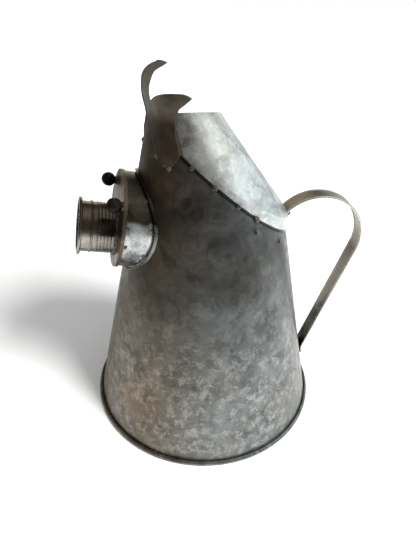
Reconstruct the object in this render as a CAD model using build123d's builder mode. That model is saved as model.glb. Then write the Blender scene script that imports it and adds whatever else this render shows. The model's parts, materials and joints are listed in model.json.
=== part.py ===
from build123d import *
import os
from math import atan, cos, radians, sin, sqrt

os.makedirs("parts", exist_ok=True)

# A galvanised pouring jug: a cone standing on its wide end, its mouth cut on a
# slant and covered behind by a hood, with a strap handle on +X and an applied
# animal face on -X. The origin is the middle of the foot, +Z is up.

# driving dimensions (mm)
sheet = 0.8                  # thickness of all the sheet metal
foot_radius = 97.6           # outside of the cone, carried down to the floor
cone_height = 429.9          # where the cone would close to a point
rim_rear_height = 165.0      # lowest point of the slanted rim
rim_front_height = 246.0     # highest point of the slanted rim
foot_wire_radius = 1.1
bottom_flange = 4.5          # the bottom's flange stands up this far inside the wall
outlet_radius = 14.0         # hole from the jug into the drum
outlet_depth = 50.0          # through the front wall only
handle_width = 15.5
handle_edge_radius = 0.9     # hemmed edges of the strap
handle_crown_radius = 35.6
face_turn = 11.6             # the face looks this far round from -X towards -Y
face_tilt = 12.2             # and this far up, square to the cone
drum_radius = 34.1
drum_reach = 68.7            # from the jug's axis to the front of the drum
drum_height = 176.8
neck_drop = 8.4              # the neck sits below the middle of the drum
neck_length = 26.0
neck_radius = 17.9
neck_bore_radius = 17.1
lip_radius = 20.4
eye_radius = 5.0
eye_reach = 30.3             # eyes, from the middle of the drum
eye_angles = (39.8, 137.5)   # round it, from the animal's left
skin = 0.05                  # gap between sheets that only lie on each other

# worked out
cone_slope = foot_radius / cone_height
cone_angle = atan(cone_slope)
wall = sheet / cos(cone_angle)


def cone_radius(height, proud=0.0):
    """Radius of the body's outside at a height, or of a cone standing proud of it."""
    return foot_radius - cone_slope * height + proud


def bearing(angle):
    """Horizontal direction, measured from -X towards -Y."""
    return Vector(-cos(radians(angle)), -sin(radians(angle)), 0)


def facing(turn, tilt):
    """Direction at a bearing, tilted up."""
    return bearing(turn) * cos(radians(tilt)) + Vector(0, 0, sin(radians(tilt)))


def face_plane(turn, tilt, reach, height):
    """Plane square to a facing: local x runs to the animal's left, local y up."""
    side = Vector(sin(radians(turn)), -cos(radians(turn)), 0)
    middle = bearing(turn) * reach + Vector(0, 0, height)
    return Plane(middle, x_dir=side, z_dir=facing(turn, tilt))


def profile_plane(base):
    """Plane through a face plane's axis, for profiles: local y runs along that axis."""
    return Plane(base.origin, x_dir=base.x_dir, z_dir=-base.y_dir)


def spin_axis(base):
    return Axis(base.origin, base.z_dir)


def cone_skin(inner, outer, top):
    """Thin or thick cone between two amounts proud of the body's outside."""
    with BuildPart(mode=Mode.PRIVATE) as skin_part:
        with BuildSketch(Plane.XZ):
            Polygon(
                (cone_radius(0, inner), 0),
                (cone_radius(0, outer), 0),
                (cone_radius(top, outer), top),
                (cone_radius(top, inner), top),
                align=None,
            )
        revolve(axis=Axis.Z)
    return skin_part.part


def save(part, name):
    part.label = name
    export_step(part, f"parts/{name}.step")


# ------------------------------------------------------------ slanted rim
rim_rear_x = cone_radius(rim_rear_height)
rim_front_x = -cone_radius(rim_front_height)
rim_slope = (rim_front_height - rim_rear_height) / (rim_rear_x - rim_front_x)


def slant_plane(rear_x, rear_z, slope, middle_x):
    """Plane falling towards +X; its local x axis runs up the slant, towards -X."""
    angle = atan(slope)
    middle = Vector(middle_x, 0, rear_z + (rear_x - middle_x) * slope)
    return Plane(middle, x_dir=(-cos(angle), 0, sin(angle)), z_dir=(sin(angle), 0, cos(angle)))


def cone_section(rear_z, slope, proud):
    """Front x, rear x and half width of the proud cone's ellipse on a slant."""
    rear_x = cone_radius(rear_z)
    apex = cone_height + proud / cone_slope
    reach = apex - rear_z - rear_x * slope
    squash = 1 - (cone_slope * slope) ** 2
    half_width = cone_slope * reach / sqrt(squash)
    middle = cone_slope ** 2 * reach * slope / squash
    half_run = half_width / sqrt(squash)
    return middle - half_run, middle + half_run, half_width


def rim_point(angle):
    """Point of the body's rim at a bearing."""
    level = rim_rear_height + rim_rear_x * rim_slope
    radius = (foot_radius - cone_slope * level) / (1 + cone_slope * rim_slope * cos(radians(angle)))
    height = (foot_radius - radius) / cone_slope
    return bearing(angle) * radius + Vector(0, 0, height)


rim_plane = slant_plane(rim_rear_x, rim_rear_height, rim_slope, 0)

# ------------------------------------------------------------ hood blank
skirt_drop = 1.2             # skirt's lower edge below the rim, behind
skirt_proud = 0.6            # the skirt stands outside the body behind
tuck = -1.7                  # and the hood tucks inside the rim at the sides
shoulder_height = 176.0      # where the skirt bends into the slope
shoulder_x = 61.0
hood_apex = Vector(-64.0, 0, 340.0)
hood_lift = 0.55             # how far up towards the apex the blank reaches
mouth_crest = Vector(7.4, 0, 247.0)
mouth_side_fall = 12.4       # the mouth's edge falls across the jug, towards +Y
mouth_front_fall = 1.3
hood_front_x = -29.0

skirt_foot_height = rim_rear_height - skirt_drop
skirt_foot_x = cone_radius(skirt_foot_height, skirt_proud)
skirt_lean = (skirt_foot_x - shoulder_x) / (shoulder_height - skirt_foot_height)


def hood_sections():
    """Plane and half axes of the skirt's foot, its shoulder and the blank's top."""
    cap_slope = (rim_front_height - shoulder_height) / (shoulder_x - rim_front_x)
    sections = []
    for rear_x, rear_z, slope in (
        (skirt_foot_x, skirt_foot_height, rim_slope),
        (shoulder_x, shoulder_height, cap_slope),
    ):
        front_x, _, half_width = cone_section(rear_z, slope, tuck)
        plane = slant_plane(rear_x, rear_z, slope, (front_x + rear_x) / 2)
        sections.append((plane, (rear_x - front_x) / 2 / cos(atan(slope)), half_width))
    cap_plane, along, half_width = sections[1]
    top = cap_plane.origin + (hood_apex - cap_plane.origin) * hood_lift
    top_plane = Plane(top, x_dir=cap_plane.x_dir, z_dir=cap_plane.z_dir)
    sections.append((top_plane, along * (1 - hood_lift), half_width * (1 - hood_lift)))
    return sections


def hood_blank(inset):
    """Skirt and sloping cap as one solid; a positive inset gives its inside."""
    with BuildPart(mode=Mode.PRIVATE) as blank:
        for plane, along, half_width in hood_sections():
            with BuildSketch(plane):
                Ellipse(along - inset, half_width - inset)
        loft(ruled=True)
    return blank.part


mouth_tilt = Vector(-sin(radians(mouth_front_fall)), sin(radians(mouth_side_fall)), 1)
mouth_plane = Plane(mouth_crest, x_dir=Vector(1, 0, 0), z_dir=mouth_tilt.normalized())
hood_outside = hood_blank(0)

# the hood is trimmed to the cone where it passes behind the horn
hood_trim_x = -19.0
hood_trim_height = 260.0
behind_horn = split(
    cone_skin(0, foot_radius / 2, hood_trim_height),
    bisect_by=Plane((hood_trim_x, 0, 0), z_dir=(1, 0, 0)),
    keep=Keep.BOTTOM,
)

# ------------------------------------------------------------ hood
with BuildPart() as hood:
    add(hood_outside)
    add(hood_blank(sheet), mode=Mode.SUBTRACT)
    split(bisect_by=mouth_plane, keep=Keep.BOTTOM)
    split(bisect_by=Plane((hood_front_x, 0, 0), z_dir=(1, 0, 0)), keep=Keep.TOP)
    add(behind_horn, mode=Mode.SUBTRACT)
save(hood.part, "hood")

# ------------------------------------------------------------ body
curl_radius = foot_wire_radius + sheet
curl_middle = cone_radius(curl_radius, -wall) + curl_radius
drum_plane = face_plane(face_turn, face_tilt, drum_reach, drum_height)
neck_plane = Plane(drum_plane.location * Location((0, -neck_drop, 0)))
blank_height = 260.0

with BuildPart() as body_shell:
    with BuildSketch(Plane.XZ):
        with Locations((curl_middle, curl_radius)):
            Circle(curl_radius)
        with Locations((curl_middle - curl_radius / 2, curl_radius * 1.5)):
            Rectangle(curl_radius, curl_radius, mode=Mode.SUBTRACT)
        Polygon(
            (cone_radius(curl_radius, -wall), curl_radius),
            (cone_radius(curl_radius), curl_radius),
            (cone_radius(blank_height), blank_height),
            (cone_radius(blank_height, -wall), blank_height),
            align=None,
        )
        with Locations((curl_middle, curl_radius)):
            Circle(foot_wire_radius, mode=Mode.SUBTRACT)
    revolve(axis=Axis.Z)
    split(bisect_by=rim_plane, keep=Keep.BOTTOM)
    add(hood_outside, mode=Mode.SUBTRACT)
    with BuildSketch(neck_plane):
        Circle(outlet_radius)
    extrude(amount=-outlet_depth, mode=Mode.SUBTRACT)
save(body_shell.part, "body_shell")

# wire that the foot is rolled round
with BuildPart() as base_wire:
    with BuildSketch(Plane.XZ):
        with Locations((curl_middle, curl_radius)):
            Circle(foot_wire_radius)
    revolve(axis=Axis.Z)
save(base_wire.part, "base_wire")

# flat bottom level with the foot, its flange turned up inside the wall
with BuildPart() as base_plate:
    with BuildSketch(Plane.XZ):
        Polygon(
            (0, 0),
            (cone_radius(curl_radius, -wall), 0),
            (cone_radius(curl_radius, -wall), curl_radius),
            (cone_radius(bottom_flange, -wall), bottom_flange),
            (cone_radius(bottom_flange, -2 * wall), bottom_flange),
            (cone_radius(curl_radius, -2 * wall), curl_radius),
            (cone_radius(curl_radius, -2 * wall), sheet),
            (0, sheet),
            align=None,
        )
    revolve(axis=Axis.Z)
save(base_plate.part, "base_plate")

# lap of the side seam, behind, under the handle
seam_angle = 7.0
seam_foot = 6.0
seam_top = 155.0
seam_thick = 0.6
with BuildPart() as body_seam:
    with BuildSketch(Plane.XZ.rotated((0, 0, -seam_angle / 2))):
        Polygon(
            (cone_radius(seam_foot), seam_foot),
            (cone_radius(seam_foot, seam_thick), seam_foot),
            (cone_radius(seam_top, seam_thick), seam_top),
            (cone_radius(seam_top), seam_top),
            align=None,
        )
    revolve(axis=Axis.Z, revolution_arc=seam_angle)
save(body_seam.part, "body_seam")

# ------------------------------------------------------------ handle
crown_middle = (86.4, 153.2)
crown_start = 142.0          # angle where the strap meets the hood's shoulder
crown_end = -15.75
knee_height = 37.3
foot_end = 31.0
foot_bend = 12.0


def foot_point(height):
    """Middle of the strap where its foot lies on the seam."""
    return cone_radius(height, seam_thick + handle_edge_radius + skin), height


cone_block = Cone(
    cone_radius(0, skin),
    cone_radius(blank_height, skin),
    blank_height,
    align=(Align.CENTER, Align.CENTER, Align.MIN),
)

with BuildPart() as handle_strap:
    with BuildLine(Plane.XZ):
        crown = CenterArc(crown_middle, handle_crown_radius, crown_start, crown_end - crown_start)
        FilletPolyline(crown @ 1, foot_point(knee_height), foot_point(foot_end), radius=foot_bend)
    with BuildSketch(Plane(crown @ 0, x_dir=(0, 1, 0), z_dir=crown % 0)):
        Rectangle(handle_width - 2 * handle_edge_radius, sheet)
        with GridLocations(handle_width - 2 * handle_edge_radius, 0, 2, 1):
            Circle(handle_edge_radius)
    sweep()
    add(hood_outside, mode=Mode.SUBTRACT)
save(handle_strap.part, "handle_strap")


def solder_bar(x, height, radius, length):
    """Bar of solder across the strap, rounded at both ends."""
    with BuildPart(mode=Mode.PRIVATE) as bar:
        with BuildSketch(Plane((x, 0, height), x_dir=(0, 1, 0), z_dir=(1, 0, 0))):
            SlotCenterToCenter(length, 2 * radius)
            Rectangle(2 * length, 2 * radius, align=(Align.CENTER, Align.MAX), mode=Mode.SUBTRACT)
        revolve(axis=Axis((x, 0, height), (0, 1, 0)))
    return bar.part


top_bar = (60.9, 175.6, 1.9, 10.0)
foot_bar = (*foot_point(foot_end), 1.5, 9.0)
solder_depth = 10.0          # cleared behind the wall, more than the solder's own size
with BuildPart() as handle_top_solder:
    add(solder_bar(*top_bar))
    add(hood_outside, mode=Mode.SUBTRACT)
    add(handle_strap.part, mode=Mode.SUBTRACT)
save(handle_top_solder.part, "handle_top_solder")

with BuildPart() as handle_foot_solder:
    add(solder_bar(*foot_bar))
    add(cone_skin(-solder_depth, seam_thick, blank_height), mode=Mode.SUBTRACT)
    add(handle_strap.part, mode=Mode.SUBTRACT)
save(handle_foot_solder.part, "handle_foot_solder")

# solder along the joint between hood and rim: (bearing, radius)
below_rim = split(cone_block, bisect_by=rim_plane, keep=Keep.BOTTOM)
near_tacks = ((72.6, 1.7), (89.9, 2.1), (107.0, 1.7), (121.5, 2.2))
far_tacks = ((-78.0, 1.9), (-96.0, 1.7), (-114.0, 2.1))
drip_places = ((121.0, 182.0, 1.8), (144.8, 167.4, 1.6))
with BuildPart() as hood_solder_tacks:
    for angle, radius in (*near_tacks, *far_tacks):
        with Locations(rim_point(angle)):
            Sphere(radius)
    for angle, height, radius in drip_places:
        with Locations(bearing(angle) * cone_radius(height) + Vector(0, 0, height)):
            Sphere(radius)
    add(below_rim, mode=Mode.SUBTRACT)
    add(hood_outside, mode=Mode.SUBTRACT)
save(hood_solder_tacks.part, "hood_solder_tacks")

# ------------------------------------------------------------ face
drum_depth = 45.0
flange_radius = 36.6
flange_edge = 1.1
flange_edge_proud = 1.8
drum_inside = drum_radius - sheet


def drum_ring(outer, inner, start, depth):
    """Ring about the drum's axis, from a distance behind its front inwards."""
    with BuildPart(mode=Mode.PRIVATE) as ring:
        with BuildSketch(drum_plane.offset(-start)):
            Circle(outer)
            Circle(inner, mode=Mode.SUBTRACT)
        extrude(amount=-depth)
    return ring.part


# short drum cut to a saddle on the cone, with a flange that lies on the cone
with BuildPart() as face_drum:
    add(drum_ring(drum_radius, drum_inside, sheet, drum_depth))
    add(cone_block, mode=Mode.SUBTRACT)
    add(
        drum_ring(flange_radius, drum_inside, sheet, drum_depth)
        & cone_skin(skin, skin + sheet, blank_height)
    )
    add(
        drum_ring(flange_radius, flange_radius - flange_edge, sheet, drum_depth)
        & cone_skin(skin, skin + flange_edge_proud, blank_height)
    )
save(face_drum.part, "face_drum")

# lid pressed over the drum's front, holed for the neck and the eye screws
lid_radius = drum_radius + skin + sheet
lid_skirt = 2.4
screw_radius = 1.25
eye_places = [Location((0, 0, 0), (0, 0, angle)) * Location((eye_reach, 0, 0)) for angle in eye_angles]
screw_clearance = 5.0
with BuildPart() as face_plate:
    with BuildSketch(drum_plane):
        Circle(lid_radius)
    extrude(amount=-lid_skirt)
    with BuildSketch(drum_plane.offset(-sheet)):
        Circle(lid_radius - sheet)
    extrude(amount=-lid_skirt, mode=Mode.SUBTRACT)
    with BuildSketch(neck_plane):
        Circle(neck_radius + skin)
    extrude(amount=lid_skirt, both=True, mode=Mode.SUBTRACT)
    with BuildSketch(drum_plane):
        with Locations(*eye_places):
            Circle(screw_radius)
    extrude(amount=screw_clearance, both=True, mode=Mode.SUBTRACT)
save(face_plate.part, "face_plate")

# ribbed screw neck with a rolled lip
neck_tail = 4.0
rib_first = 4.0
rib_pitch = 2.3
rib_count = 5
rib_radius = 0.45
collar_bead = 17.2           # height of the single thicker ring
collar_round = 0.8
lip_roll = 1.1
with BuildPart() as neck:
    with BuildSketch(profile_plane(neck_plane)):
        with Locations(((neck_bore_radius + neck_radius) / 2, (neck_length - neck_tail) / 2)):
            Rectangle(neck_radius - neck_bore_radius, neck_length + neck_tail)
        with Locations(*[(neck_radius, rib_first + rib_pitch * rib) for rib in range(rib_count)]):
            Circle(rib_radius)
        with Locations((neck_radius, collar_bead)):
            Circle(collar_round)
        with Locations(((neck_bore_radius + lip_radius - lip_roll) / 2, neck_length - lip_roll)):
            Rectangle(lip_radius - lip_roll - neck_bore_radius, sheet)
        with Locations((lip_radius - lip_roll, neck_length - lip_roll)):
            Circle(lip_roll)
        with Locations((neck_bore_radius / 2, neck_length / 2)):
            Rectangle(neck_bore_radius, 2 * neck_length, mode=Mode.SUBTRACT)
    revolve(axis=spin_axis(neck_plane))
save(neck.part, "neck")

# solder bead round the root of the neck
bead_radius = 1.6
with BuildPart() as neck_root_bead:
    with BuildSketch(profile_plane(neck_plane)):
        with Locations((neck_radius + skin, 0)):
            Circle(bead_radius)
            Rectangle(bead_radius, bead_radius, align=(Align.MIN, Align.MIN), mode=Mode.INTERSECT)
    revolve(axis=spin_axis(neck_plane))
save(neck_root_bead.part, "neck_root_bead")

# ball eyes on screws, each with a washer in front of the lid and a nut behind
washer_radius = 3.2
washer_thick = 0.6
eye_centre = 5.6
boss_radius = 2.6
screw_back = 5.0
screw_front = 6.0
nut_across = 5.0
nut_thick = 2.2
nut_turn = 30


def eye(place, name):
    seat = drum_plane.offset(washer_thick)
    with BuildPart() as ball:
        with BuildSketch(seat):
            with Locations(place):
                Circle(boss_radius)
        extrude(amount=eye_centre / 2)
        with Locations(drum_plane.offset(eye_centre).location * place):
            Sphere(eye_radius)
        with BuildSketch(seat):
            with Locations(place):
                Circle(screw_radius)
        extrude(amount=screw_front - washer_thick, mode=Mode.SUBTRACT)
        split(bisect_by=seat, keep=Keep.TOP)
    save(ball.part, name)


eye(eye_places[0], "eye_left")
eye(eye_places[1], "eye_right")

with BuildPart() as eye_screws:
    with BuildSketch(drum_plane.offset(-screw_back)):
        with Locations(*eye_places):
            Circle(screw_radius)
    extrude(amount=screw_back + screw_front)
save(eye_screws.part, "eye_screws")

with BuildPart() as eye_washers:
    with BuildSketch(drum_plane):
        with Locations(*eye_places):
            Circle(washer_radius)
            Circle(screw_radius, mode=Mode.SUBTRACT)
    extrude(amount=washer_thick)
save(eye_washers.part, "eye_washers")

with BuildPart() as eye_nuts:
    with BuildSketch(drum_plane.offset(-sheet)):
        with Locations(*eye_places):
            RegularPolygon(nut_across / 2, 6, major_radius=False, rotation=nut_turn)
            Circle(screw_radius, mode=Mode.SUBTRACT)
    extrude(amount=-nut_thick)
save(eye_nuts.part, "eye_nuts")

# solder spots on the drum: (angle round the drum from the side, distance behind the front)
spot_radius = 1.7
spot_sink = 0.7
drum_spots = ((13, 3.4), (-9, 3.4), (-35, 3.4), (47, 16.0), (20, 18.5), (-21, 17.0))
with BuildPart() as face_solder_spots:
    for angle, behind in drum_spots:
        for side in (1, -1):
            spread = (drum_radius - spot_sink) * cos(radians(angle)) * side
            rise = (drum_radius - spot_sink) * sin(radians(angle))
            with Locations(drum_plane.location * Location((spread, rise, -behind))):
                Sphere(spot_radius)
    add(drum_ring(drum_radius, 1, 0, drum_depth), mode=Mode.SUBTRACT)
    add(drum_ring(lid_radius, 1, 0, lid_skirt), mode=Mode.SUBTRACT)
    add(face_drum.part, mode=Mode.SUBTRACT)
    add(cone_block, mode=Mode.SUBTRACT)
save(face_solder_spots.part, "face_solder_spots")

# ------------------------------------------------------------ horns
horn_foot = 215.0
flare_start = 244.0
horn_middle = (skin + sheet) / 2 + skin


def flared_sheet():
    """Sheet that lies on the cone and flares outwards above the rim."""
    foot = (cone_radius(horn_foot, horn_middle), horn_foot)
    start = (cone_radius(flare_start, horn_middle), flare_start)
    with BuildPart(mode=Mode.PRIVATE) as flare:
        with BuildSketch(Plane.XZ):
            with BuildLine():
                straight = Line(foot, start)
                flare_line = ((44.9, 257), (49.4, 263), (55.4, 267), (60, 270), (66, 274))
                Spline(start, *flare_line, tangents=(straight % 1, (1, 0.7)))
            trace(line_width=sheet)
        revolve(axis=Axis.Z)
    return flare.part


def horn(turn, outline, name):
    """Flared sheet cut to an outline drawn square to the given bearing."""
    side = Vector(sin(radians(turn)), -cos(radians(turn)), 0)
    with BuildPart() as petal:
        add(flared_sheet())
        with BuildSketch(Plane((0, 0, 0), x_dir=side, z_dir=bearing(turn))):
            with BuildLine():
                outline()
            make_face()
        extrude(amount=blank_height, mode=Mode.INTERSECT)
    save(petal.part, name)
    return petal.part


def left_outline():
    top = ThreePointArc((-18.9, 249), (1, 262), (25, 267))
    tip = ThreePointArc(top @ 1, (26.8, 265.6), (25.6, 263.5))
    Polyline(tip @ 1, (15, 256.5))
    bend = ((15, 256.5), (10.6, 248), (13, 238), (15.8, 229), (10.5, 221.8), (-1.6, 226))
    Spline(*bend, tangents=((-1, -1), (-1, 0.3)))
    Polyline((-1.6, 226), (-9.8, 238), (-18.9, 249))


def right_outline():
    crest = ((26.4, 248), (6.5, 261), (-1.2, 264), (-12, 267.2), (-22, 269.7), (-31, 271.2))
    top = Spline(*crest)
    tip = ThreePointArc(top @ 1, (-34.8, 271.2), (-35.8, 270.1))
    under = ((-27.2, 267.8), (-20.8, 266.5), (-11.9, 263.8), (-5.4, 260.9), (1.6, 256), (4, 250))
    Spline(tip @ 1, *under, (0, 243), (-15, 232))
    Spline((-15, 232), (-15, 225), (-6, 222), (4, 224), (14, 233), (26.4, 248))


horn_left = horn(42, left_outline, "horn_left")
horn_right = horn(-25, right_outline, "horn_right")

# solder along the feet of the horns: (bearing, height, radius)
horn_spots = ((39.9, 226.5, 1.8), (49.3, 223.1, 1.7), (54.5, 221.6, 1.9))
horns_part = 15.0            # bearing midway between the horns
with BuildPart() as horn_solder_spots:
    for angle, height, radius in horn_spots:
        for place in (angle, 2 * horns_part - angle):
            with Locations(bearing(place) * cone_radius(height, skin) + Vector(0, 0, height)):
                Sphere(radius)
    add(cone_block, mode=Mode.SUBTRACT)
    add(horn_left, mode=Mode.SUBTRACT)
    add(horn_right, mode=Mode.SUBTRACT)
save(horn_solder_spots.part, "horn_solder_spots")
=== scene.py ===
import json
import math

import bpy
from mathutils import Matrix, Vector


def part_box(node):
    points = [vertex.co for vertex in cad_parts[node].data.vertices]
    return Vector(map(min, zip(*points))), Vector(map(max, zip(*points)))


# Looks of a hand-made galvanised pouring jug. Everything is in metres, in the CAD frame:
# the origin under the middle of the foot, +Z up, +X to the handle, -X to the animal face.

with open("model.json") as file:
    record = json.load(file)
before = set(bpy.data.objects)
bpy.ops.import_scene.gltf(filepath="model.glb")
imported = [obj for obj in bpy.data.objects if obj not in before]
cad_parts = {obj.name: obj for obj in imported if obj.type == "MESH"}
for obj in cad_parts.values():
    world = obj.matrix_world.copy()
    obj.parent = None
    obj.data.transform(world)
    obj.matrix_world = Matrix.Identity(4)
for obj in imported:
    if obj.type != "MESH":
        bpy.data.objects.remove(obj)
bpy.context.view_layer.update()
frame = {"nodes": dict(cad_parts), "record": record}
nodes = frame["nodes"]
scene = bpy.context.scene

# ---------------------------------------------------------------- places, from the frame
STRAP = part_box("handle_strap")
STRAP_HALF = (STRAP[1][1] - STRAP[0][1]) / 2
RIM_NORMAL = Vector((0.795, 0, 1)).normalized()       # the slanted rim between body and hood
RIM_REACH = RIM_NORMAL.dot(Vector((0.06014, 0, 0.165)))
DRUM_UP = Vector((0.207, 0.0425, 0.9774))             # up across the face drum
DRUM_SIDE = Vector((-0.2011, 0.9796, 0))               # level across the face drum
DRUM_MIDDLE = Vector((-0.0673, -0.0138, 0.1768))
DRUM_LEVEL = DRUM_UP.dot(DRUM_MIDDLE)
DRUM_WALL = 0.0341


# ---------------------------------------------------------------- small shader language
class Shade:
    """Builds one node material; every method returns a socket."""

    def __init__(self, name):
        self.mat = bpy.data.materials.new(name)
        self.mat.use_nodes = True
        self.tree = self.mat.node_tree
        self.tree.nodes.clear()
        self.out = self.tree.nodes.new("ShaderNodeOutputMaterial")
        self.bsdf = self.tree.nodes.new("ShaderNodeBsdfPrincipled")
        self.tree.links.new(self.bsdf.outputs[0], self.out.inputs[0])
        self.where = self.tree.nodes.new("ShaderNodeTexCoord").outputs["Object"]

    def put(self, socket, value):
        if isinstance(value, bpy.types.NodeSocket):
            self.tree.links.new(value, socket)
        elif isinstance(value, tuple) and len(value) == 3 and socket.type == "RGBA":
            socket.default_value = (*value, 1)
        else:
            socket.default_value = value

    def stretch(self, scale):
        """The object coordinates, scaled."""
        n = self.tree.nodes.new("ShaderNodeMapping")
        self.put(n.inputs["Vector"], self.where)
        n.inputs["Scale"].default_value = scale
        return n.outputs[0]

    def noise(self, scale, detail=3.0, rough=0.55, warp=0.0, vector=None, colour=False):
        n = self.tree.nodes.new("ShaderNodeTexNoise")
        self.put(n.inputs["Vector"], vector or self.where)
        n.inputs["Scale"].default_value = scale
        n.inputs["Detail"].default_value = detail
        n.inputs["Roughness"].default_value = rough
        n.inputs["Distortion"].default_value = warp
        return n.outputs["Color" if colour else "Fac"]

    def cells(self, scale, vector):
        """A random colour for each crystal cell."""
        n = self.tree.nodes.new("ShaderNodeTexVoronoi")
        self.put(n.inputs["Vector"], vector)
        n.inputs["Scale"].default_value = scale
        return n.outputs["Color"]

    def warped(self, amount, scale):
        """The object coordinates, pushed about by noise."""
        push = self.tree.nodes.new("ShaderNodeVectorMath")
        push.operation = "MULTIPLY_ADD"
        self.put(push.inputs[0], self.noise(scale, detail=4, colour=True))
        push.inputs[1].default_value = (amount, amount, amount)
        self.put(push.inputs[2], self.where)
        return push.outputs[0]

    def band(self, value, low, high, to_low=0.0, to_high=1.0):
        """Smooth step of a value from low to high."""
        n = self.tree.nodes.new("ShaderNodeMapRange")
        n.interpolation_type = "SMOOTHSTEP"
        keys = ("Value", "From Min", "From Max", "To Min", "To Max")
        for key, number in zip(keys, (value, low, high, to_low, to_high)):
            self.put(n.inputs[key], number)
        return n.outputs[0]

    def sum(self, kind, a, b=0.0, c=0.0):
        n = self.tree.nodes.new("ShaderNodeMath")
        n.operation = kind
        for socket, number in zip(n.inputs, (a, b, c)):
            self.put(socket, number)
        return n.outputs[0]

    def axis(self, name):
        n = self.tree.nodes.new("ShaderNodeSeparateXYZ")
        self.put(n.inputs[0], self.where)
        return n.outputs[name]

    def along(self, toward, level):
        """How far a point lies beyond a level, measured along a direction."""
        n = self.tree.nodes.new("ShaderNodeVectorMath")
        n.operation = "DOT_PRODUCT"
        self.put(n.inputs[0], self.where)
        n.inputs[1].default_value = toward
        return self.sum("SUBTRACT", n.outputs["Value"], level)

    def mix(self, fac, a, b, kind="MIX"):
        n = self.tree.nodes.new("ShaderNodeMix")
        n.data_type = "RGBA"
        n.blend_type = kind
        self.put(n.inputs[0], fac)
        self.put(n.inputs[6], a)
        self.put(n.inputs[7], b)
        return n.outputs[2]

    def bump(self, height, strength, distance, under=None):
        n = self.tree.nodes.new("ShaderNodeBump")
        n.inputs["Strength"].default_value = strength
        n.inputs["Distance"].default_value = distance
        self.put(n.inputs["Height"], height)
        if under is not None:
            self.put(n.inputs["Normal"], under)
        return n.outputs[0]

    def finish(self, colour, rough, metal, normal=None, **more):
        self.put(self.bsdf.inputs["Base Color"], colour)
        self.put(self.bsdf.inputs["Roughness"], rough)
        self.bsdf.inputs["Metallic"].default_value = metal
        if normal is not None:
            self.put(self.bsdf.inputs["Normal"], normal)
        for key, number in more.items():
            self.bsdf.inputs[key.replace("_", " ").title().replace("Ior", "IOR")].default_value = number
        return self.mat


# ---------------------------------------------------------------- materials
ZINC_METAL = 0.85
TIN_METAL = 0.9
WARP = 0.012                 # how far the crystal cells are pushed about
CLOUD_SHARE = 0.60           # of the tone that comes from clouds, the rest from crystal cells
FADED = 0.12                 # strength of the pale marks above the fading height
HEM = (0.0026, 0.0018)       # where the painted highlight on the strap's hem starts and is full, in from its side


def galvanised(
    name, dark, light, warm, veins, rough,
    spangle=150.0, patina_and_reflection=None, fade=None, grime_and_shade=None, flakes=0.0,
):
    """Hot-dipped zinc: crystal cells, pale flakes and veins, brownish patina and soft dents; the masks
    passed in add painted reflection and painted shade as well.
    """
    s = Shade(name)
    loose = s.warped(WARP, 60)
    grain = s.cells(spangle, loose)
    tone = s.tree.nodes.new("ShaderNodeSeparateColor")
    s.put(tone.inputs[0], grain)
    cloud = s.noise(34, detail=6, rough=0.66, warp=0.6)
    crystal = s.sum("MULTIPLY", tone.outputs[0], 1 - CLOUD_SHARE)
    amount = s.sum("MULTIPLY_ADD", s.band(cloud, 0.36, 0.66), CLOUD_SHARE, crystal)
    colour = s.mix(amount, dark, light)
    curl = s.noise(92, detail=6, rough=0.66, warp=2.2)
    line = s.sum("ABSOLUTE", s.sum("SUBTRACT", curl, 0.5))
    vein = s.sum("MULTIPLY", s.band(line, 0.0, 0.035, 1.0, 0.0), veins)
    island = s.band(s.noise(120, detail=9, rough=0.76, warp=0.25), 0.49, 0.56)
    filling = s.band(s.noise(420, detail=4, rough=0.7), 0.36, 0.60, 0.35, 1.0)
    flake = s.sum("MULTIPLY", s.sum("MULTIPLY", island, filling), flakes)
    pale = s.sum("MAXIMUM", vein, flake)
    if fade is not None:
        top, bottom = fade
        pale = s.sum("MULTIPLY", pale, s.band(s.axis("Z"), bottom, top, 1.0, FADED))
    colour = s.mix(pale, colour, tuple(min(1.0, 1.5 * c + 0.03) for c in light))
    stain_and_reflection = s.band(s.noise(21, detail=4, rough=0.6), 0.42, 0.72)
    # brown stains; a mask given here adds patina and painted reflection, multiplied in with the warm
    # colour
    if patina_and_reflection is not None:
        stain_and_reflection = s.sum("ADD", s.sum("MULTIPLY", stain_and_reflection, 0.35), patina_and_reflection(s))
    colour = s.mix(s.sum("MINIMUM", stain_and_reflection, 1.0), colour, s.mix(1.0, colour, warm, "MULTIPLY"))
    # near black mixed in for grime and for painted shade and painted reflection
    if grime_and_shade is not None:
        colour = s.mix(grime_and_shade(s), colour, (0.012, 0.010, 0.008))
    speck = s.band(s.noise(700, detail=2), 0.66, 0.74)
    colour = s.mix(s.sum("MULTIPLY", speck, 0.5), colour, tuple(0.35 * c for c in dark))
    uneven = s.sum("ADD", cloud, s.sum("MULTIPLY", tone.outputs[1], 0.25))
    roughness = s.band(uneven, 0.3, 0.85, rough - 0.09, rough + 0.12)
    dents = s.bump(s.noise(16, detail=2), 0.35, 0.004)
    skin = s.bump(s.noise(260, detail=4, rough=0.65), 0.16, 0.0006, dents)
    return s.finish(colour, roughness, ZINC_METAL, s.bump(pale, 0.10, 0.0004, skin))


def front_patina_and_reflection(s):
    """More brown on the side with the face and high up: partly patina, partly a painted reflection of
    the brown room on that side.
    """
    side = s.band(s.axis("X"), 0.012, -0.050)
    high = s.band(s.axis("Z"), 0.10, 0.20)
    high_front = s.sum("MULTIPLY", s.sum("MULTIPLY", high, side), 0.6)
    return s.sum("ADD", s.sum("MULTIPLY", side, 0.70), high_front)


def drum_top_reflection(s):
    """Painted reflection: dark brown over the top of the drum and neck, where they mirror the dark
    room; the flanks stay bright.
    """
    rough_edge = s.sum("MULTIPLY", s.sum("SUBTRACT", s.noise(70, detail=4), 0.5), 0.014)
    return s.band(s.sum("ADD", s.along(DRUM_UP, DRUM_LEVEL), rough_edge), 0.009, 0.014)


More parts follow.
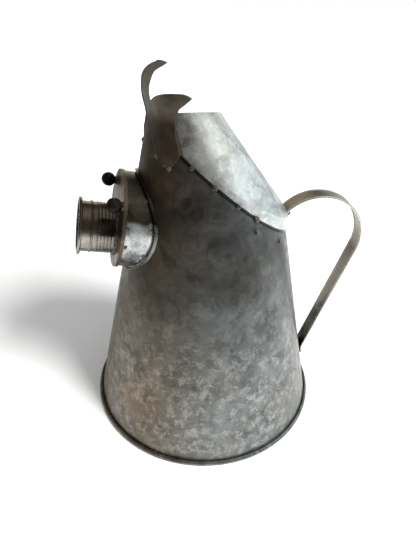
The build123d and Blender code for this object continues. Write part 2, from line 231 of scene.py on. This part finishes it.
def drum_tarnish_and_shade(s):
    """Darker and uneven along the underside of the drum, partly tarnish and partly painted shade from
    the shadowed floor it mirrors; and a painted shadow in a line at its back, in the gap behind the
    flange, lighter on its turned edge.
    """
    low = s.band(s.along(DRUM_UP, DRUM_LEVEL), -0.004, -0.024, 0.15, 1.0)
    uneven = s.band(s.noise(150, detail=7, rough=0.72), 0.42, 0.58)
    patch = s.sum("MULTIPLY", s.sum("MULTIPLY", low, uneven), 0.80)
    rise = s.along(DRUM_UP, DRUM_LEVEL)
    aside = s.along(DRUM_SIDE, DRUM_SIDE.dot(DRUM_MIDDLE))
    out = s.sum("SQRT", s.sum("ADD", s.sum("MULTIPLY", rise, rise), s.sum("MULTIPLY", aside, aside)))
    # painted shadow in the gap behind the flange; the turned edge is left lighter
    flange_gap_shadow = s.band(out, DRUM_WALL + 0.0003, DRUM_WALL + 0.0008)
    edge = s.band(out, DRUM_WALL + 0.0018, DRUM_WALL + 0.0024, 1.0, 0.72)
    return s.sum("MAXIMUM", patch, s.sum("MULTIPLY", flange_gap_shadow, s.sum("MULTIPLY", edge, 0.90)))


def neck_top_reflection(s):
    """Painted reflection: the same dark brown on the neck, which is smaller and sits lower."""
    rough_edge = s.sum("MULTIPLY", s.sum("SUBTRACT", s.noise(90, detail=4), 0.5), 0.010)
    top = s.band(s.sum("ADD", s.along(DRUM_UP, DRUM_LEVEL), rough_edge), -0.012, -0.003)
    return s.sum("MULTIPLY", top, 0.85)


def rim_slit_shadow(s):
    """Painted shadow: the dark line in the slit along the soldered seam where the hood sits on the
    slanted rim.
    """
    off = s.sum("ABSOLUTE", s.along(RIM_NORMAL, RIM_REACH))
    wide = s.sum("MULTIPLY_ADD", s.noise(180, detail=3), 0.0009, 0.0002)
    return s.sum("MULTIPLY", s.band(s.sum("SUBTRACT", off, wide), 0.0006, 0.0), 0.92)


def body_slit_shadow_and_reflection(s):
    """The rim line's painted shadow, and a painted dark reflection over the upper half of the body,
    weaker towards the +X side.
    """
    high = s.band(s.axis("Z"), 0.055, 0.150)
    uneven = s.band(s.noise(38, detail=5, rough=0.6), 0.30, 0.70, 0.6, 1.0)
    middle = s.band(s.axis("X"), 0.068, 0.020, 0.35, 1.0)
    upper_reflection = s.sum("MULTIPLY", s.sum("MULTIPLY", high, middle), s.sum("MULTIPLY", uneven, 0.56))
    return s.sum("MAXIMUM", rim_slit_shadow(s), upper_reflection)


def hood_slit_shadow_and_reflection(s):
    """The rim line's painted shadow, and a painted dark, uneven reflection on the top of the hood
    beside the horn.
    """
    beside = s.band(s.axis("X"), 0.012, -0.026)
    uneven = s.band(s.noise(55, detail=5, rough=0.65), 0.36, 0.60)
    front_reflection = s.sum("MULTIPLY", s.sum("MULTIPLY", beside, uneven), 0.40)
    return s.sum("MAXIMUM", rim_slit_shadow(s), front_reflection)


def brushed(name, dark, light, rough, along=14.0, across=900.0, edge=None, reflection_cover=None):
    """Drawn or rolled strip with streaks along it and duller patches; where given, a painted highlight
    along its edges and a painted dark reflection over it.
    """
    s = Shade(name)
    streak = s.noise(1.0, detail=3, vector=s.stretch((across, along, across)))
    patch = s.band(s.noise(60, detail=5, rough=0.62), 0.36, 0.68)
    colour = s.mix(s.sum("MULTIPLY_ADD", streak, 0.45, s.sum("MULTIPLY", patch, 0.55)), dark, light)
    # painted highlight along the edges
    if edge is not None:
        colour = s.mix(edge(s), colour, (0.60, 0.57, 0.50))
    # painted dark reflection, multiplied in
    if reflection_cover is not None:
        colour = s.mix(reflection_cover(s), colour, s.mix(1.0, colour, (0.26, 0.19, 0.13), "MULTIPLY"))
    grit = s.bump(s.noise(500, detail=3), 0.12, 0.0004)
    roughness = s.band(patch, 0, 1, rough - 0.08, rough + 0.1)
    return s.finish(colour, roughness, TIN_METAL, s.bump(streak, 0.10, 0.0003, grit))


def strap_hem_highlights(s):
    """Painted highlight along the hems at both sides of the strap."""
    return s.band(s.sum("ABSOLUTE", s.axis("Y")), STRAP_HALF - HEM[0], STRAP_HALF - HEM[1])


def lumpy(name, dark, light, rough, metal):
    """Old solder and flux: dark, uneven, with bright scraped spots."""
    s = Shade(name)
    blotch = s.band(s.noise(420, detail=4, rough=0.65), 0.38, 0.66)
    bright = s.band(s.noise(900, detail=2), 0.60, 0.72)
    colour = s.mix(s.sum("MULTIPLY", bright, 0.6), s.mix(blotch, dark, light), (0.6, 0.6, 0.58))
    roughness = s.band(blotch, 0, 1, rough - 0.1, rough + 0.15)
    return s.finish(colour, roughness, metal, s.bump(s.noise(600, detail=3), 0.6, 0.0006))


def black_gloss(name):
    """Painted wooden or plastic ball: near black, with a thin gloss and a faint uneven skin."""
    s = Shade(name)
    haze = s.noise(380, detail=3)
    colour = s.mix(haze, (0.003, 0.003, 0.003), (0.009, 0.008, 0.008))
    return s.finish(
        colour, s.band(haze, 0.3, 0.7, 0.08, 0.22), 0.0, s.bump(s.noise(160), 0.05, 0.0003),
        specular_ior_level=0.06, coat_weight=0.05, coat_roughness=0.04,
    )


body_zinc = galvanised(
    "body_zinc", (0.070, 0.076, 0.075), (0.205, 0.221, 0.221), (0.84, 0.62, 0.43), 0.22, 0.40,
    patina_and_reflection=front_patina_and_reflection, fade=(0.16, 0.06), grime_and_shade=body_slit_shadow_and_reflection, flakes=0.72,
)
hood_zinc = galvanised(
    "hood_zinc", (0.26, 0.278, 0.282), (0.70, 0.745, 0.75), (0.92, 0.88, 0.80), 0.22, 0.30,
    spangle=110, grime_and_shade=hood_slit_shadow_and_reflection, flakes=0.45,
)
horn_zinc = galvanised(
    "horn_zinc", (0.075, 0.066, 0.056), (0.145, 0.130, 0.113), (0.72, 0.58, 0.45), 0.08, 0.42,
    spangle=190,
)
# the dark brown warm colour here is the painted reflection over the top of the drum
drum_zinc = galvanised(
    "drum_zinc", (0.11, 0.115, 0.115), (0.60, 0.64, 0.64), (0.13, 0.100, 0.072), 0.34, 0.28,
    spangle=140, patina_and_reflection=drum_top_reflection, grime_and_shade=drum_tarnish_and_shade, flakes=0.35,
)
lid_zinc = galvanised(
    "lid_zinc", (0.065, 0.054, 0.043), (0.17, 0.145, 0.12), (0.78, 0.60, 0.42), 0.20, 0.34,
    spangle=170,
)
handle_tin = brushed("handle_tin", (0.085, 0.074, 0.056), (0.26, 0.24, 0.20), 0.24, edge=strap_hem_highlights)
neck_tin = brushed(
    "neck_tin", (0.10, 0.088, 0.072), (0.42, 0.40, 0.37), 0.24,
    along=120, across=500, reflection_cover=neck_top_reflection,
)
solder = lumpy("solder", (0.030, 0.024, 0.018), (0.15, 0.125, 0.10), 0.45, 0.6)
steel_wire = brushed("steel_wire", (0.10, 0.10, 0.095), (0.28, 0.28, 0.27), 0.38, along=90, across=400)
eye_black = black_gloss("eye_black")

BY_SLOT = {
    "body_zinc": body_zinc,
    "hood_zinc": hood_zinc,
    "horn_zinc": horn_zinc,
    "drum_zinc": drum_zinc,
    "lid_zinc": lid_zinc,
    "handle_tin": handle_tin,
    "neck_tin": neck_tin,
    "solder": solder,
    "steel_wire": steel_wire,
    "eye_black": eye_black,
}
for part in frame["record"]["subparts"]:
    holder = nodes[part["node"]]
    for place in holder.material_slots:
        place.material = BY_SLOT[part["material_slot"]]

# ---------------------------------------------------------------- floor
FLOOR_NEAR = 0.62            # what the metal mirrors of the floor
FLOOR_FAR = 40.0
RING_STEPS = 96


def floor_material(name, glow):
    """Plain pale paper; the far floor glows, as the lamp hardly reaches it."""
    s = Shade(name)
    tone = s.mix(s.noise(3, detail=2), (0.90, 0.90, 0.90), (0.93, 0.93, 0.93))
    s.finish(tone, 0.9, 0.0)
    s.bsdf.inputs["Specular IOR Level"].default_value = 0.0
    s.bsdf.inputs["Emission Color"].default_value = (1, 1, 1, 1)
    s.bsdf.inputs["Emission Strength"].default_value = glow
    return s.mat


def ring(name, inner, outer, look):
    """Flat ring or disc on the floor."""
    points = []
    faces = []
    for i in range(RING_STEPS):
        turn = 2 * math.pi * i / RING_STEPS
        for radius in (inner, outer):
            points.append((radius * math.cos(turn), radius * math.sin(turn), 0))
    for i in range(RING_STEPS):
        j = (i + 1) % RING_STEPS
        faces.append((2 * i, 2 * i + 1, 2 * j + 1, 2 * j))
    mesh = bpy.data.meshes.new(name)
    mesh.from_pydata(points, [], faces)
    made = bpy.data.objects.new(name, mesh)
    scene.collection.objects.link(made)
    mesh.materials.append(look)
    return made


near_floor = ring("floor_near", 0.0, FLOOR_NEAR, floor_material("floor_near", 0.0))
far_floor = ring("floor_far", FLOOR_NEAR, FLOOR_FAR, floor_material("floor_far", 1.0))
far_floor.visible_glossy = False
far_floor.visible_diffuse = False

# ---------------------------------------------------------------- studio
world = bpy.data.worlds.new("studio")
scene.world = world
world.use_nodes = True
wt = world.node_tree
wt.nodes.clear()


def wnode(kind, **values):
    n = wt.nodes.new(kind)
    for key, value in values.items():
        setattr(n, key, value)
    return n


direction = wnode("ShaderNodeTexCoord").outputs["Generated"]
split = wnode("ShaderNodeSeparateXYZ")
wt.links.new(direction, split.inputs[0])
azimuth = wnode("ShaderNodeMath", operation="ARCTAN2")
wt.links.new(split.outputs["Y"], azimuth.inputs[0])
wt.links.new(split.outputs["X"], azimuth.inputs[1])
unit = wnode("ShaderNodeMapRange")
unit.inputs["From Min"].default_value = -math.pi
unit.inputs["From Max"].default_value = math.pi
wt.links.new(azimuth.outputs[0], unit.inputs["Value"])
walls = wnode("ShaderNodeValToRGB")
wt.links.new(unit.outputs[0], walls.inputs[0])
# the walls round the studio, by azimuth: 0 is -X, a quarter -Y, a half +X, three quarters +Y
WALLS = (
    (0.00, (0.22, 0.17, 0.12)),
    (0.07, (0.07, 0.050, 0.034)),
    (0.17, (0.05, 0.038, 0.028)),
    (0.28, (0.028, 0.028, 0.027)),
    (0.34, (0.10, 0.108, 0.112)),
    (0.40, (0.54, 0.60, 0.62)),
    (0.52, (0.90, 1.00, 1.03)),
    (0.70, (0.72, 0.76, 0.77)),
    (0.86, (0.45, 0.42, 0.38)),
    (1.00, (0.22, 0.17, 0.12)),
)
ramp = walls.color_ramp
while len(ramp.elements) < len(WALLS):
    ramp.elements.new(0.5)
for element, (place, colour) in zip(ramp.elements, WALLS):
    element.position = place
    element.color = (*colour, 1)
height = wnode("ShaderNodeMapRange", interpolation_type="SMOOTHSTEP")
height.inputs["From Min"].default_value = 0.15
height.inputs["From Max"].default_value = 0.55
wt.links.new(split.outputs["Z"], height.inputs["Value"])
ceiling = wnode("ShaderNodeMix", data_type="RGBA")
ceiling.inputs[7].default_value = (0.15, 0.125, 0.10, 1)
wt.links.new(height.outputs[0], ceiling.inputs[0])
wt.links.new(walls.outputs[0], ceiling.inputs[6])


def softbox(under, toward, narrow, wide, colour):
    """Bright patch of sky about a direction, added to what is under it."""
    near = wnode("ShaderNodeVectorMath", operation="DOT_PRODUCT")
    wt.links.new(direction, near.inputs[0])
    near.inputs[1].default_value = Vector(toward).normalized()
    edge = wnode("ShaderNodeMapRange", interpolation_type="SMOOTHSTEP")
    edge.inputs["From Min"].default_value = wide
    edge.inputs["From Max"].default_value = narrow
    wt.links.new(near.outputs["Value"], edge.inputs["Value"])
    over = wnode("ShaderNodeMix", data_type="RGBA", blend_type="ADD")
    over.inputs[7].default_value = (*colour, 1)
    wt.links.new(edge.outputs[0], over.inputs[0])
    wt.links.new(under, over.inputs[6])
    return over.outputs[2]


sky = softbox(ceiling.outputs[2], (0.62, 0.10, 0.78), 0.97, 0.70, (0.98, 1.07, 1.10))
sky = softbox(sky, (-0.10, 0.95, 0.30), 0.99, 0.93, (0.9, 0.80, 0.62))
seen = wnode("ShaderNodeLightPath")
pick = wnode("ShaderNodeMix", data_type="RGBA")
pick.inputs[7].default_value = (1.0, 1.0, 1.0, 1)
wt.links.new(seen.outputs["Is Camera Ray"], pick.inputs[0])
soft = wnode("ShaderNodeMix", data_type="RGBA")
soft.inputs[7].default_value = (0.50, 0.50, 0.50, 1)
wt.links.new(seen.outputs["Is Diffuse Ray"], soft.inputs[0])
wt.links.new(sky, soft.inputs[6])
wt.links.new(soft.outputs[2], pick.inputs[6])
glow = wnode("ShaderNodeBackground")
wt.links.new(pick.outputs[2], glow.inputs["Color"])
out = wnode("ShaderNodeOutputWorld")
wt.links.new(glow.outputs[0], out.inputs[0])


def lamp(name, place, target, size, power, colour):
    """Round area light at a place, aimed at a target."""
    data = bpy.data.lights.new(name, "AREA")
    data.shape = "DISK"
    data.size = size
    data.energy = power
    data.color = colour
    made = bpy.data.objects.new(name, data)
    made.location = place
    made.rotation_euler = (Vector(target) - Vector(place)).to_track_quat("-Z", "Y").to_euler()
    scene.collection.objects.link(made)
    return made


key = lamp("key", (0.84, -0.60, 1.22), (0, 0, 0.08), 0.60, 44, (1.0, 0.995, 0.98))
key.visible_glossy = False

scene.view_settings.view_transform = "Standard"
scene.view_settings.look = "None"

# ---------------------------------------------------------------- camera
EYE = Vector((-0.02388, -0.29109, 0.30985))
YAW, PITCH, ROLL = 0.0876, 0.5898, 0.0283
FOCAL = 27.05
SENSOR = 36.0
ahead = Vector((math.sin(YAW) * math.cos(PITCH), math.cos(YAW) * math.cos(PITCH), -math.sin(PITCH)))
level = Vector((math.cos(YAW), -math.sin(YAW), 0))
upright = level.cross(ahead)
right = math.cos(ROLL) * level + math.sin(ROLL) * upright
up = math.cos(ROLL) * upright - math.sin(ROLL) * level
lens = bpy.data.cameras.new("camera")
lens.lens = FOCAL
lens.sensor_width = SENSOR
lens.clip_start = 0.01
lens.clip_end = 200
camera = bpy.data.objects.new("camera", lens)
turn = Matrix((right, up, -ahead)).transposed()
camera.matrix_world = Matrix.Translation(EYE) @ turn.to_4x4()
scene.collection.objects.link(camera)
scene.camera = camera
